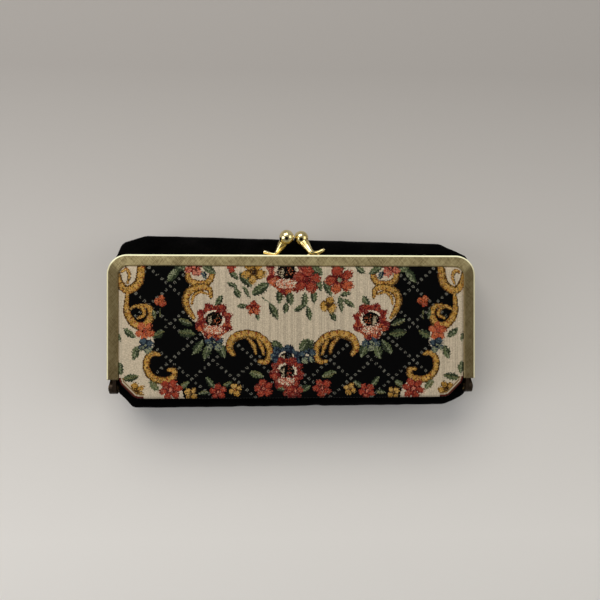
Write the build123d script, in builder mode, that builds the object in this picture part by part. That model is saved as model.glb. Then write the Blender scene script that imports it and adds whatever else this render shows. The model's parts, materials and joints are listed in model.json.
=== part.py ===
from build123d import *
import os

os.makedirs("parts", exist_ok=True)

# Kiss lock clutch, lying on its back and shut.
# X is the width, +Y points to the clasp, +Z out of the tapestry face. Millimetres.

# Brass frame, two channel halves that meet at the parting plane
frame_width = 190.0  # outside of one leg to outside of the other
frame_height = 64.0  # crown of the top bar down to the ends of the legs
band = 5.8  # width of the channel seen from the face
frame_depth = 4.5  # depth of one half
sheet = 0.8
corner_radius = 10.3
mouth_radius = 5.0
edge_bevel = 0.5
parting_gap = 0.3

# Hinges at the foot of the legs
hinge_drop = 4.6  # leg ends down to the rivets' axis
ear_radius = 3.1
ear_thickness = 1.8
ear_gap = 0.2  # between the two ears of one hinge
ear_lap = 3.0  # ear inside the leg
rivet_radius = 1.0
rivet_head_radius = 1.9
rivet_head = 0.6
head_gap = 0.1
rivet_fit = 0.02
running_clearance = 0.06

# Ball clasp
ball_radius = 3.8
ball_spacing = 7.7  # centre to centre, so the balls just pass
ball_height = 8.95  # ball centre above the crown
ball_lean = 4.2  # how far a ball leans over the other half
stem_offset = 9.0  # foot of a stem from the middle
stem_foot_radius = 2.1
stem_neck_radius = 1.15
collar_radius = 1.75
tail_reach = 15.7
tail_width = 2.8
tail_height = 1.3
tail_curl = 2.6
pin_radius = 0.6
pin_head_radius = 1.1
pin_head = 0.5
pin_fit = 0.02

# Paper cord that packs the channel
cord_radius = 0.6
cord_gap = 0.15

# Front panel
panel_drop = 5.1  # rivets' axis down to the panel's lower edge
panel_chamfer = 8.2
panel_round = 6.0
panel_side_gap = 0.3
panel_lining = 0.5
panel_board = 1.2
cloth_gap = 0.1
hem = 0.6  # tapestry turned round the board's free edges
puff = 1.4  # how far the padded face stands above the edge
puff_round = 1.2
wadding = 1.3
wadding_margin = 3.0

# Velvet body behind the frame
body_depth = 26.0  # back of the body to the parting plane
body_margin = 0.5  # velvet inside the frame's outline at each side
body_rise = 11.1  # velvet above the crown
body_drop = 10.8  # velvet below the rivets' axis
body_chamfer = 9.5
body_bevel = 4.8
body_top_corner = 14.0
body_low_corner = 10.0
frame_seat = 0.2
skin = 1.2
layer_gap = 0.05
body_pad = 1.2
body_board = 1.5
body_lining = 0.6
cavity_side = 5.2  # mouth of the channel to the hollow
cavity_top = 3.6
cavity_drop = 1.3  # hollow below the rivets' axis
cavity_chamfer = 9.0
cavity_round = 6.0
tongue = 2.0  # velvet edge held in the rear channel
tongue_lining = 0.7

# Gussets
gusset_width = 14.0
gusset_height = 44.0
gusset_cloth = 0.5
strip_inset = 1.2
strip_cloth = 0.8

# Places
rise_above_crown = max(ball_height + ball_radius, body_rise)
y_hinge = (body_drop - hinge_drop - frame_height - rise_above_crown) / 2
y_leg = y_hinge + hinge_drop
y_crown = y_leg + frame_height
y_body_low = y_hinge - body_drop
y_body_top = y_crown + body_rise
half_width = frame_width / 2
half_mouth = half_width - band
z_front = body_depth + parting_gap / 2
z_rear = body_depth - parting_gap / 2
z_body_front = z_rear - frame_depth - frame_seat
edge_inset = sheet + pin_head + cloth_gap + 2 * cord_radius + cord_gap + 0.1
cord_inset = edge_inset - cord_gap - cord_radius
y_slot_low = y_leg + ear_lap + panel_side_gap
outer_ear = half_width - rivet_head - head_gap
inner_ear = outer_ear - ear_thickness - ear_gap


# Arched plan shared by the frame and what it holds
def arch(inset, low, radius):
    with BuildSketch() as plan:
        with BuildLine():
            Polyline(
                (-half_width + inset, low),
                (-half_width + inset, y_crown - inset),
                (half_width - inset, y_crown - inset),
                (half_width - inset, low),
                close=True,
            )
        make_face()
        fillet(plan.vertices().group_by(Axis.Y)[-1], radius)
    return plan.sketch


# Plan with cut lower corners
def tub(half, low, top, cut, low_radius, top_radius):
    with BuildSketch() as plan:
        with BuildLine():
            Polyline(
                (-half + cut, low),
                (-half, low + cut),
                (-half, top),
                (half, top),
                (half, low + cut),
                (half - cut, low),
                close=True,
            )
        make_face()
        fillet(plan.vertices().group_by(Axis.Y)[-1], top_radius)
        fillet(plan.vertices().filter_by_position(Axis.Y, low - 1, low + cut + 1), low_radius)
    return plan.sketch


frame_plan = arch(0, y_leg, corner_radius)
mouth_plan = arch(band, y_leg, mouth_radius)
slot_plan = arch(sheet, y_leg, corner_radius - sheet)
held_plan = arch(edge_inset, y_slot_low, corner_radius - edge_inset)
neck_plan = arch(band + panel_side_gap, y_leg + panel_side_gap, mouth_radius - panel_side_gap)
panel_plan = tub(
    half_mouth - panel_side_gap, y_hinge - panel_drop, y_crown - band - panel_side_gap,
    panel_chamfer, panel_round, mouth_radius - panel_side_gap,
)
body_plan = tub(
    half_width - body_margin, y_body_low, y_body_top, body_chamfer, body_low_corner, body_top_corner,
)
cavity_plan = tub(
    half_mouth - cavity_side, y_hinge - cavity_drop, y_crown - band - cavity_top,
    cavity_chamfer, cavity_round, cavity_round,
)


# One half of the frame: a folded channel with an ear at the end of each leg
def frame_half(z_inner, side, ear_x, bore):
    with BuildPart() as half:
        with BuildSketch(Plane.XY.offset(z_inner)):
            add(frame_plan)
            add(mouth_plan, mode=Mode.SUBTRACT)
        extrude(amount=side * frame_depth)
        with BuildSketch(Plane.XY.offset(z_inner + side * sheet)):
            add(slot_plan)
        extrude(amount=side * (frame_depth - 2 * sheet), mode=Mode.SUBTRACT)
        face = half.faces().filter_by(Axis.Z).sort_by(Axis.Z)[-1 if side > 0 else 0]
        chamfer(face.outer_wire().edges(), edge_bevel)
        # ears, one at each leg, mirrored across the middle
        ear_low = z_inner + side * sheet / 4
        ear_high = z_inner + side * (frame_depth - sheet)
        ear_mid = (ear_low + ear_high) / 2
        ear_tall = abs(ear_high - ear_low)
        with BuildSketch(Plane.YZ.offset(ear_x)):
            with Locations((y_hinge, body_depth)):
                Circle(ear_radius)
            with Locations((y_leg, ear_mid)):
                Rectangle(0.1, ear_tall)
            make_hull()
            with Locations((y_leg + ear_lap / 2, ear_mid)):
                Rectangle(ear_lap, ear_tall)
            with Locations((y_hinge, body_depth)):
                Circle(bore, mode=Mode.SUBTRACT)
        extrude(amount=-ear_thickness)
        with BuildSketch(Plane.YZ.offset(-ear_x)):
            with Locations((y_hinge, body_depth)):
                Circle(ear_radius)
            with Locations((y_leg, ear_mid)):
                Rectangle(0.1, ear_tall)
            make_hull()
            with Locations((y_leg + ear_lap / 2, ear_mid)):
                Rectangle(ear_lap, ear_tall)
            with Locations((y_hinge, body_depth)):
                Circle(bore, mode=Mode.SUBTRACT)
        extrude(amount=ear_thickness)
        # holes in the crown for the clasp's pins
        with BuildSketch(Plane.XZ.offset(-y_crown)):
            with Locations(*[(side * x, z_inner + side * frame_depth / 2) for x in pin_places]):
                Circle(pin_radius + pin_fit)
        extrude(amount=2 * sheet, both=True, mode=Mode.SUBTRACT)
    return half.part


pin_places = [stem_offset - stem_foot_radius / 2, tail_reach - tail_curl]

front_frame = frame_half(z_front, 1, inner_ear, rivet_radius + running_clearance)
front_frame.label = "front_frame"
export_step(front_frame, "parts/front_frame.step")

rear_frame = frame_half(z_rear, -1, outer_ear, rivet_radius + rivet_fit)
rear_frame.label = "rear_frame"
export_step(rear_frame, "parts/rear_frame.step")


# Clasp: tail lying on the crown, flared stem with a collar, ball at its end
def clasp(side):
    z_mid = body_depth + side * (parting_gap + frame_depth) / 2
    foot = Vector(side * stem_offset, y_crown, z_mid)
    ball = Vector(side * ball_spacing / 2, y_crown + ball_height, z_mid - side * ball_lean)
    rise = ball - foot
    length = rise.length
    across = rise.cross(Vector(0, 0, 1)).normalized()
    profile = Plane(origin=foot, x_dir=across, z_dir=across.cross(rise).normalized())
    with BuildPart() as piece:
        with BuildSketch(profile):
            with BuildLine():
                Polyline(
                    (0, 0),
                    (0, -stem_foot_radius),
                    (stem_foot_radius, -stem_foot_radius),
                    (stem_foot_radius, 0.3),
                    (stem_foot_radius * 0.66, length * 0.26),
                    (stem_neck_radius, length * 0.52),
                    (collar_radius, length * 0.58),
                    (collar_radius, length * 0.62),
                    (stem_neck_radius, length * 0.68),
                    (stem_neck_radius, length),
                    (0, length),
                    (0, 0),
                )
            make_face()
        revolve(axis=Axis(foot, rise))
        with Locations(ball):
            Sphere(ball_radius)
        # tail, curled up at its free end
        with BuildSketch(Plane.XY.offset(z_mid)):
            with BuildLine():
                Polyline(
                    (side * (stem_offset - stem_foot_radius), y_crown + tail_height),
                    (side * (stem_offset - stem_foot_radius), y_crown),
                    (side * (tail_reach - 1.2), y_crown),
                )
                ThreePointArc(
                    (side * (tail_reach - 1.2), y_crown),
                    (side * (tail_reach - 0.2), y_crown + tail_curl * 0.45),
                    (side * (tail_reach - 0.5), y_crown + tail_curl),
                )
                Spline(
                    (side * (tail_reach - 0.5), y_crown + tail_curl),
                    (side * (tail_reach - 2.2), y_crown + tail_height * 1.25),
                    (side * (stem_offset + stem_foot_radius), y_crown + tail_height),
                    (side * (stem_offset - stem_foot_radius), y_crown + tail_height),
                )
            make_face()
        extrude(amount=tail_width / 2, both=True)
        split(bisect_by=Plane.XZ.offset(-y_crown), keep=Keep.BOTTOM)
        # blind holes for the pins
        with BuildSketch(Plane.XZ.offset(-y_crown)):
            with Locations(*[(side * x, z_mid) for x in pin_places]):
                Circle(pin_radius + pin_fit)
        extrude(amount=-tail_height * 0.6, mode=Mode.SUBTRACT)
    return piece.part


front_clasp = clasp(1)
front_clasp.label = "front_clasp"
export_step(front_clasp, "parts/front_clasp.step")

rear_clasp = clasp(-1)
rear_clasp.label = "rear_clasp"
export_step(rear_clasp, "parts/rear_clasp.step")


# Two pins under each clasp, peened over inside the channel
def clasp_pins(side):
    z_mid = body_depth + side * (parting_gap + frame_depth) / 2
    with BuildPart() as pins:
        with BuildSketch(Plane.XZ.offset(-(y_crown + tail_height * 0.5))):
            with Locations(*[(side * x, z_mid) for x in pin_places]):
                Circle(pin_radius)
        extrude(amount=tail_height * 0.5 + sheet)
        with BuildSketch(Plane.XZ.offset(-(y_crown - sheet))):
            with Locations(*[(side * x, z_mid) for x in pin_places]):
                Circle(pin_head_radius)
        extrude(amount=pin_head)
    return pins.part


front_clasp_pins = clasp_pins(1)
front_clasp_pins.label = "front_clasp_pins"
export_step(front_clasp_pins, "parts/front_clasp_pins.step")

rear_clasp_pins = clasp_pins(-1)
rear_clasp_pins.label = "rear_clasp_pins"
export_step(rear_clasp_pins, "parts/rear_clasp_pins.step")


# Hinge rivet through both ears, with a bevelled head at each end
def hinge_rivet(side):
    far = outer_ear + head_gap / 2
    near = inner_ear - ear_thickness - head_gap
    with BuildPart() as rivet:
        with BuildSketch(Plane.YZ.offset(side * near)):
            with Locations((y_hinge, body_depth)):
                Circle(rivet_radius)
        extrude(amount=side * (far - near))
        with BuildSketch(Plane.YZ.offset(side * far)):
            with Locations((y_hinge, body_depth)):
                Circle(rivet_head_radius)
        extrude(amount=side * rivet_head)
        with BuildSketch(Plane.YZ.offset(side * near)):
            with Locations((y_hinge, body_depth)):
                Circle(rivet_head_radius)
        extrude(amount=-side * rivet_head)
        ends = rivet.edges().filter_by(GeomType.CIRCLE).group_by(Axis.X)
        chamfer(ends[0] + ends[-1], rivet_head * 0.5)
    return rivet.part


left_hinge_rivet = hinge_rivet(-1)
left_hinge_rivet.label = "left_hinge_rivet"
export_step(left_hinge_rivet, "parts/left_hinge_rivet.step")

right_hinge_rivet = hinge_rivet(1)
right_hinge_rivet.label = "right_hinge_rivet"
export_step(right_hinge_rivet, "parts/right_hinge_rivet.step")


# Paper cord along the bottom of a channel
def paper_cord(z_mid):
    run = half_width - cord_inset
    with BuildPart() as cord:
        with BuildLine() as path:
            FilletPolyline(
                (-run, y_slot_low, z_mid),
                (-run, y_crown - cord_inset, z_mid),
                (run, y_crown - cord_inset, z_mid),
                (run, y_slot_low, z_mid),
                radius=corner_radius - cord_inset,
            )
        with BuildSketch(Plane(origin=(-run, y_slot_low, z_mid), z_dir=(0, 1, 0))):
            RegularPolygon(cord_radius, 8)
        sweep(path=path.wires()[0])
    return cord.part


front_paper_cord = paper_cord(z_front + frame_depth / 2)
front_paper_cord.label = "front_paper_cord"
export_step(front_paper_cord, "parts/front_paper_cord.step")

rear_paper_cord = paper_cord(z_rear - frame_depth / 2)
rear_paper_cord.label = "rear_paper_cord"
export_step(rear_paper_cord, "parts/rear_paper_cord.step")

# Front panel: lining, board, wadding and tapestry, edges held in the channel
z_lining = z_front + sheet + cloth_gap
z_board = z_lining + panel_lining
z_cloth = z_board + panel_board
z_edge = z_front + frame_depth - sheet - cloth_gap

board_plan = offset(panel_plan, amount=-hem)
face_plan = offset(panel_plan, amount=-panel_side_gap)
pad_plan = offset(panel_plan, amount=-wadding_margin)
pocket_plan = offset(panel_plan, amount=layer_gap - wadding_margin)

with BuildPart() as front_lining:
    with BuildSketch(Plane.XY.offset(z_lining)):
        add(board_plan)
        add(held_plan)
    extrude(amount=panel_lining)
front_lining.part.label = "front_lining"
export_step(front_lining.part, "parts/front_lining.step")

with BuildPart() as front_board:
    with BuildSketch(Plane.XY.offset(z_board)):
        add(board_plan)
        add(held_plan)
    extrude(amount=panel_board)
front_board.part.label = "front_board"
export_step(front_board.part, "parts/front_board.step")

with BuildPart() as front_wadding:
    with BuildSketch(Plane.XY.offset(z_cloth)):
        add(pad_plan)
    extrude(amount=wadding)
    chamfer(front_wadding.edges().group_by(Axis.Z)[-1], wadding * 0.5)
front_wadding.part.label = "front_wadding"
export_step(front_wadding.part, "parts/front_wadding.step")

with BuildPart() as tapestry_cover:
    with BuildSketch(Plane.XY.offset(z_edge)):
        add(face_plan)
    extrude(amount=puff)
    fillet(tapestry_cover.edges().group_by(Axis.Z)[-1], puff_round)
    with BuildSketch(Plane.XY.offset(z_lining)):
        add(panel_plan)
        add(held_plan)
    extrude(amount=z_edge - z_lining)
    with BuildSketch(Plane.XY.offset(z_lining)):
        add(board_plan)
        add(arch(edge_inset - 1.0, y_slot_low, corner_radius - edge_inset + 1.0))
    extrude(amount=z_cloth - z_lining, mode=Mode.SUBTRACT)
    with BuildSketch(Plane.XY.offset(z_cloth)):
        add(pocket_plan)
    extrude(amount=wadding + layer_gap, mode=Mode.SUBTRACT)
tapestry_cover.part.label = "tapestry_cover"
export_step(tapestry_cover.part, "parts/tapestry_cover.step")


# Filling inside the skin, with the bevel of the cover round its edges
def filling_form(plan, inset):
    with BuildPart() as form:
        with BuildSketch(Plane.XY.offset(inset)):
            add(plan)
        extrude(amount=z_body_front - 2 * inset)
        rims = form.edges().group_by(Axis.Z)
        chamfer(rims[0] + rims[-1], body_bevel)
    return form.part


under_skin = filling_form(offset(body_plan, amount=-skin), skin)
wadding_form = filling_form(offset(body_plan, amount=-skin - layer_gap), skin + layer_gap)

lining_plan = offset(cavity_plan, amount=body_lining)
collar_plan = offset(cavity_plan, amount=body_lining + layer_gap)
tray_plan = offset(cavity_plan, amount=body_lining + body_board)
tray_seat_plan = offset(cavity_plan, amount=body_lining + body_board + layer_gap)
z_tray = skin + layer_gap + body_pad
z_tray_top = z_body_front - skin - layer_gap
z_tongue = z_rear - frame_depth + sheet + cloth_gap
z_tongue_top = z_tongue + tongue

with BuildPart() as rear_board:
    with BuildSketch(Plane.XY.offset(z_tray)):
        add(tray_plan)
    extrude(amount=z_tray_top - z_tray)
    with BuildSketch(Plane.XY.offset(z_tray + body_board)):
        add(lining_plan)
    extrude(amount=z_tray_top - z_tray - body_board, mode=Mode.SUBTRACT)
rear_board.part.label = "rear_board"
export_step(rear_board.part, "parts/rear_board.step")

with BuildPart() as rear_wadding:
    add(wadding_form)
    with BuildSketch(Plane.XY.offset(z_tray)):
        add(tray_seat_plan)
    extrude(amount=z_body_front, mode=Mode.SUBTRACT)
rear_wadding.part.label = "rear_wadding"
export_step(rear_wadding.part, "parts/rear_wadding.step")

with BuildPart() as rear_velvet_cover:
    with BuildSketch():
        add(body_plan)
    extrude(amount=z_body_front)
    rims = rear_velvet_cover.edges().group_by(Axis.Z)
    chamfer(rims[0] + rims[-1], body_bevel)
    add(under_skin, mode=Mode.SUBTRACT)
    # collar that comes up inside the frame, and its edge in the channel
    with BuildSketch(Plane.XY.offset(z_body_front - skin / 2)):
        add(neck_plan)
    extrude(amount=z_tongue_top - z_body_front + skin / 2)
    with BuildSketch(Plane.XY.offset(z_tongue)):
        add(held_plan)
    extrude(amount=tongue)
    with BuildSketch(Plane.XY.offset(z_tray_top)):
        add(collar_plan)
    extrude(amount=body_depth, mode=Mode.SUBTRACT)
rear_velvet_cover.part.label = "rear_velvet_cover"
export_step(rear_velvet_cover.part, "parts/rear_velvet_cover.step")

with BuildPart() as rear_lining:
    with BuildSketch(Plane.XY.offset(z_tray + body_board)):
        add(lining_plan)
    extrude(amount=z_body_front - z_tray - body_board)
    with BuildSketch(Plane.XY.offset(z_body_front)):
        add(lining_plan)
        add(neck_plan, mode=Mode.INTERSECT)
    extrude(amount=z_tongue_top - z_body_front)
    with BuildSketch(Plane.XY.offset(z_tongue_top)):
        add(held_plan)
        add(neck_plan)
    extrude(amount=tongue_lining)
    with BuildSketch(Plane.XY.offset(z_tray + body_board + body_lining)):
        add(cavity_plan)
    extrude(amount=body_depth, mode=Mode.SUBTRACT)
rear_lining.part.label = "rear_lining"
export_step(rear_lining.part, "parts/rear_lining.step")

# Side gussets: cloth folded in two between the halves, widest at the top
z_gusset_low = z_tongue_top + tongue_lining + cloth_gap
z_gusset_high = z_lining - cloth_gap


def side_gusset(side):
    edge = half_mouth - panel_side_gap
    with BuildPart() as gusset:
        with BuildSketch(Plane.XY.offset(z_gusset_low)):
            Polygon(
                (side * edge, y_leg + ear_lap),
                (side * edge, y_leg + ear_lap + gusset_height),
                (side * (edge - gusset_width), y_leg + ear_lap + gusset_height),
                (side * (edge - 2.0), y_leg + ear_lap),
                align=None,
            )
        extrude(amount=z_gusset_high - z_gusset_low)
        # slit between the two layers, open at the frame side
        with BuildSketch(Plane.XY.offset(z_gusset_low + gusset_cloth)):
            Polygon(
                (side * (edge + 1), y_leg + ear_lap - 1),
                (side * (edge + 1), y_leg + ear_lap + gusset_height + 1),
                (side * (edge - gusset_width + 1.0), y_leg + ear_lap + gusset_height + 1),
                (side * (edge - 1.0), y_leg + ear_lap - 1),
                align=None,
            )
        extrude(amount=z_gusset_high - z_gusset_low - 2 * gusset_cloth, mode=Mode.SUBTRACT)
    return gusset.part


left_gusset = side_gusset(-1)
left_gusset.label = "left_gusset"
export_step(left_gusset, "parts/left_gusset.step")

right_gusset = side_gusset(1)
right_gusset.label = "right_gusset"
export_step(right_gusset, "parts/right_gusset.step")

# Bottom gusset: a strip of velvet under the panel's lower edge, from hinge to hinge
strip_plan = offset(panel_plan, amount=-strip_inset)
strip_hollow = offset(panel_plan, amount=-strip_inset - strip_cloth)

with BuildPart() as bottom_gusset:
    with BuildSketch(Plane.XY.offset(z_body_front + layer_gap)):
        add(strip_plan)
        add(strip_hollow, mode=Mode.SUBTRACT)
        with Locations((0, y_leg - 1.0)):
            Rectangle(2 * frame_width, 2 * frame_height, align=(Align.CENTER, Align.MIN), mode=Mode.SUBTRACT)
    extrude(amount=z_lining - cloth_gap - z_body_front - layer_gap)
bottom_gusset.part.label = "bottom_gusset"
export_step(bottom_gusset.part, "parts/bottom_gusset.step")
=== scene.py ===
import bpy, bmesh, json, math
import numpy as np
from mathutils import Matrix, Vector

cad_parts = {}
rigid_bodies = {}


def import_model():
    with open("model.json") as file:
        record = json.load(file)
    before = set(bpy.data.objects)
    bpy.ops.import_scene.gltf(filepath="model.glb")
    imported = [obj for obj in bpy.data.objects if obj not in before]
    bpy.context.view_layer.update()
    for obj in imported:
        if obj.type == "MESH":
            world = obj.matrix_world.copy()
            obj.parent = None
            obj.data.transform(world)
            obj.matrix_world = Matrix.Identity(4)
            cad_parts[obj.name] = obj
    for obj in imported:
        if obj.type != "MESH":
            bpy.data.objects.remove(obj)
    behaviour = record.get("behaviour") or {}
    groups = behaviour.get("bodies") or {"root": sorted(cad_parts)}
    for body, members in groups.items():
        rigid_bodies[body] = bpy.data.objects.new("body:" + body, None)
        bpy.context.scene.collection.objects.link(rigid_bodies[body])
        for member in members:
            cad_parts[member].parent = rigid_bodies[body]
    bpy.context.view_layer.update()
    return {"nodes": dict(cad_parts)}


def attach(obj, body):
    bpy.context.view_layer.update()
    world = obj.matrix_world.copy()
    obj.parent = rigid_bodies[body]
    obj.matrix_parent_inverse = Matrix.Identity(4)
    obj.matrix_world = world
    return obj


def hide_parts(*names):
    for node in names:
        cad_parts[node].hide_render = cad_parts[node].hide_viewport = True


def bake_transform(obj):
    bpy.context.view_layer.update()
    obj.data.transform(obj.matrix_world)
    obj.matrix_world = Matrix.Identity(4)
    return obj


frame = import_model()
scene = bpy.context.scene
mm = 0.001

# Places shared by the pieces, in millimetres, as the frame has them
place = {
    "halfWidth": 95.0, "band": 5.8, "hingeY": -35.275, "legY": -30.675, "crownY": 33.325,
    "partZ": 26.0, "faceZ": 30.65, "bodyTopY": 44.425, "bodyLowY": -46.075,
}
place["mouth"] = place["halfWidth"] - place["band"]


def linear(rgb):
    # colours are written as they look, 0 to 255
    out = []
    for c in rgb:
        c = c / 255
        out.append(c / 12.92 if c <= 0.04045 else ((c + 0.055) / 1.055) ** 2.4)
    return (*out, 1.0)


# Small mesh and node helpers
def meshPiece(name, points, faces, material):
    mesh = bpy.data.meshes.new(name)
    mesh.from_pydata([tuple(c * mm for c in p) for p in points], [], faces)
    mesh.validate()
    mesh.update()
    piece = bpy.data.objects.new(name, mesh)
    scene.collection.objects.link(piece)
    mesh.materials.append(material)
    mesh.shade_smooth()
    return piece


def outwards(piece):
    bm = bmesh.new()
    bm.from_mesh(piece.data)
    bmesh.ops.remove_doubles(bm, verts=bm.verts, dist=0.01 * mm)
    bmesh.ops.recalc_face_normals(bm, faces=bm.faces)
    bm.to_mesh(piece.data)
    bm.free()
    piece.data.update()


def newMaterial(name, colour, rough, metal=0.0, **extra):
    mat = bpy.data.materials.new(name)
    mat.use_nodes = True
    tree = mat.node_tree
    shader = tree.nodes["Principled BSDF"]
    shader.inputs["Base Color"].default_value = linear(colour)
    shader.inputs["Roughness"].default_value = rough
    shader.inputs["Metallic"].default_value = metal
    for key, value in extra.items():
        shader.inputs[key].default_value = value
    return mat, tree, shader


def add(tree, kind, **settings):
    node = tree.nodes.new(kind)
    for key, value in settings.items():
        setattr(node, key, value)
    return node


def stretchedNoise(tree, scale, stretch, turn=0.0, detail=3.0):
    coords = add(tree, "ShaderNodeTexCoord")
    mapping = add(tree, "ShaderNodeMapping", vector_type="TEXTURE")
    mapping.inputs["Scale"].default_value = [1 / k for k in stretch]
    mapping.inputs["Rotation"].default_value = (0, 0, turn)
    noise = add(tree, "ShaderNodeTexNoise")
    noise.inputs["Scale"].default_value = scale
    noise.inputs["Detail"].default_value = detail
    tree.links.new(coords.outputs["Object"], mapping.inputs["Vector"])
    tree.links.new(mapping.outputs["Vector"], noise.inputs["Vector"])
    return noise.outputs["Fac"]


def ramp(tree, source, stops):
    node = add(tree, "ShaderNodeValToRGB")
    elements = node.color_ramp.elements
    for element, (where, colour) in zip((elements[0], elements[1]), (stops[0], stops[-1])):
        element.position = where
        element.color = linear(colour)
    for where, colour in stops[1:-1]:
        elements.new(where).color = linear(colour)
    tree.links.new(source, node.inputs["Fac"])
    return node.outputs["Color"]


def maths(tree, what, a, b=0.5):
    node = add(tree, "ShaderNodeMath", operation=what)
    for socket, value in zip(node.inputs, (a, b)):
        if isinstance(value, (int, float)):
            socket.default_value = value
        else:
            tree.links.new(value, socket)
    return node.outputs[0]


def bump(tree, shader, height, strength, distance):
    node = add(tree, "ShaderNodeBump")
    node.inputs["Strength"].default_value = strength
    node.inputs["Distance"].default_value = distance
    tree.links.new(height, node.inputs["Height"])
    tree.links.new(node.outputs["Normal"], shader.inputs["Normal"])


# Finishes
frameFinish = {
    # the edge colour is a painted highlight along the rim; the leg and ear colours are painted shade; the
    # wall colour is part polish, part painted highlight
    "face": (158, 143, 101), "dark": (118, 103, 66), "pale": (188, 174, 128), "edge": (255, 252, 212),
    "leg": (78, 62, 30), "wallPolishAndHighlight": (214, 196, 140), "ear": (46, 34, 20),
    "grain": 2600, "rim": 0.9, "corner": 10.3,
}


def rimDistance(tree, split):
    # how far a point lies inside the frame's outer outline, in metres, negative inside
    radius = frameFinish["corner"] * mm
    side = maths(tree, "ABSOLUTE", split.outputs["X"])
    qx = maths(tree, "SUBTRACT", side, place["halfWidth"] * mm - radius)
    qy = maths(tree, "SUBTRACT", split.outputs["Y"], place["crownY"] * mm - radius)
    ax, ay = maths(tree, "MAXIMUM", qx, 0.0), maths(tree, "MAXIMUM", qy, 0.0)
    squares = maths(tree, "ADD", maths(tree, "MULTIPLY", ax, ax), maths(tree, "MULTIPLY", ay, ay))
    reach = maths(tree, "SQRT", squares)
    inner = maths(tree, "MINIMUM", maths(tree, "MAXIMUM", qx, qy), 0.0)
    return maths(tree, "SUBTRACT", maths(tree, "ADD", reach, inner), radius)


def blendColour(tree, factor, low, high):
    node = add(tree, "ShaderNodeMix", data_type="RGBA")
    tree.links.new(factor, node.inputs[0])
    for socket, value in ((node.inputs[6], low), (node.inputs[7], high)):
        if isinstance(value, tuple):
            socket.default_value = linear(value)
        else:
            tree.links.new(value, socket)
    return node.outputs[2]


def brushedBrass():
    # cross-hatched face, polished where the sheet turns over the edge, with a painted highlight along that
    # edge and paler side walls; painted shade on the legs and the hinge ears
    mat, tree, shader = newMaterial("brushedBrass", frameFinish["face"], 0.42, 0.7)
    one = stretchedNoise(tree, frameFinish["grain"], (1.0, 0.1, 1.0), math.radians(40))
    two = stretchedNoise(tree, frameFinish["grain"], (1.0, 0.1, 1.0), math.radians(-40))
    blotch = stretchedNoise(tree, 130, (1, 1, 1), 0.0, 3.0)
    grain = maths(tree, "ADD", maths(tree, "MULTIPLY", one, 0.5), maths(tree, "MULTIPLY", two, 0.5))
    tone = maths(tree, "ADD", maths(tree, "MULTIPLY", grain, 0.7), maths(tree, "MULTIPLY", blotch, 0.3))
    stops = [(0.4, frameFinish["dark"]), (0.5, frameFinish["face"]), (0.6, frameFinish["pale"])]
    face = ramp(tree, tone, stops)
    coords = add(tree, "ShaderNodeTexCoord")
    split = add(tree, "ShaderNodeSeparateXYZ")
    tree.links.new(coords.outputs["Object"], split.inputs[0])
    fromRim = maths(tree, "ADD", rimDistance(tree, split), frameFinish["rim"] * mm)
    rim = maths(tree, "MULTIPLY", fromRim, 4000.0)
    polished = add(tree, "ShaderNodeClamp")
    tree.links.new(rim, polished.inputs[0])
    legs = add(tree, "ShaderNodeClamp")
    side = maths(tree, "ABSOLUTE", split.outputs["X"])
    across = maths(tree, "SUBTRACT", side, (place["halfWidth"] - place["crownY"]) * mm)
    down = maths(tree, "MULTIPLY", maths(tree, "SUBTRACT", across, split.outputs["Y"]), 250.0)
    tree.links.new(down, legs.inputs[0])
    # painted shade: the legs are coloured darker than the top band
    shaded = blendColour(tree, maths(tree, "MULTIPLY", legs.outputs[0], 0.7), face, frameFinish["leg"])
    # painted highlight along the outer rim, brightest on the top band and less bright on the legs
    half = maths(tree, "MULTIPLY", legs.outputs[0], 0.5)
    edge = blendColour(tree, half, frameFinish["edge"], frameFinish["pale"])
    strip = blendColour(tree, polished.outputs[0], shaded, edge)
    facing = add(tree, "ShaderNodeSeparateXYZ")
    tree.links.new(coords.outputs["Normal"], facing.inputs[0])
    # side walls: more metallic for their polish, and coloured paler as a painted highlight
    wallPolishAndHighlight = maths(tree, "LESS_THAN", maths(tree, "ABSOLUTE", facing.outputs["Z"]), 0.55)
    colour = blendColour(tree, wallPolishAndHighlight, strip, frameFinish["wallPolishAndHighlight"])
    # painted shade: the hinge ears are coloured near black, for the shade and the black velvet round them
    ear = maths(tree, "LESS_THAN", split.outputs["Y"], (place["legY"] - 0.1) * mm)
    tree.links.new(blendColour(tree, ear, colour, frameFinish["ear"]), shader.inputs["Base Color"])
    rough = maths(tree, "SUBTRACT", 0.46, maths(tree, "MULTIPLY", polished.outputs[0], 0.2))
    tree.links.new(rough, shader.inputs["Roughness"])
    # the rim is made non-metallic, so that its painted highlight colour shows as it is
    metal = maths(tree, "SUBTRACT", 0.7, maths(tree, "MULTIPLY", polished.outputs[0], 0.7))
    metal = maths(tree, "MAXIMUM", metal, maths(tree, "MULTIPLY", wallPolishAndHighlight, 0.85))
    tree.links.new(metal, shader.inputs["Metallic"])
    bump(tree, shader, grain, 0.3, 0.0001)
    return mat


def polishedBrass():
    mat, tree, shader = newMaterial("polishedBrass", (226, 206, 146), 0.12, 1.0)
    wear = stretchedNoise(tree, 220, (1, 1, 1), 0.0, 4.0)
    colour = ramp(tree, wear, [(0.35, (208, 186, 122)), (0.6, (236, 220, 164))])
    tree.links.new(colour, shader.inputs["Base Color"])
    tree.links.new(maths(tree, "ADD", maths(tree, "MULTIPLY", wear, 0.08), 0.05), shader.inputs["Roughness"])
    return mat


def darkAndShadedHinge():
    # dark brass, darkened further as painted shade round the hinge; the palest flecks of the noise are
    # painted glints
    mat, tree, shader = newMaterial("darkAndShadedHinge", (64, 52, 34), 0.4, 0.9)
    wear = stretchedNoise(tree, 700, (1, 1, 1), 0.0, 4.0)
    colour = ramp(tree, wear, [(0.4, (38, 30, 20)), (0.55, (74, 60, 38)), (0.68, (150, 124, 74))])
    tree.links.new(colour, shader.inputs["Base Color"])
    bump(tree, shader, wear, 0.2, 0.0001)
    return mat


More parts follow.
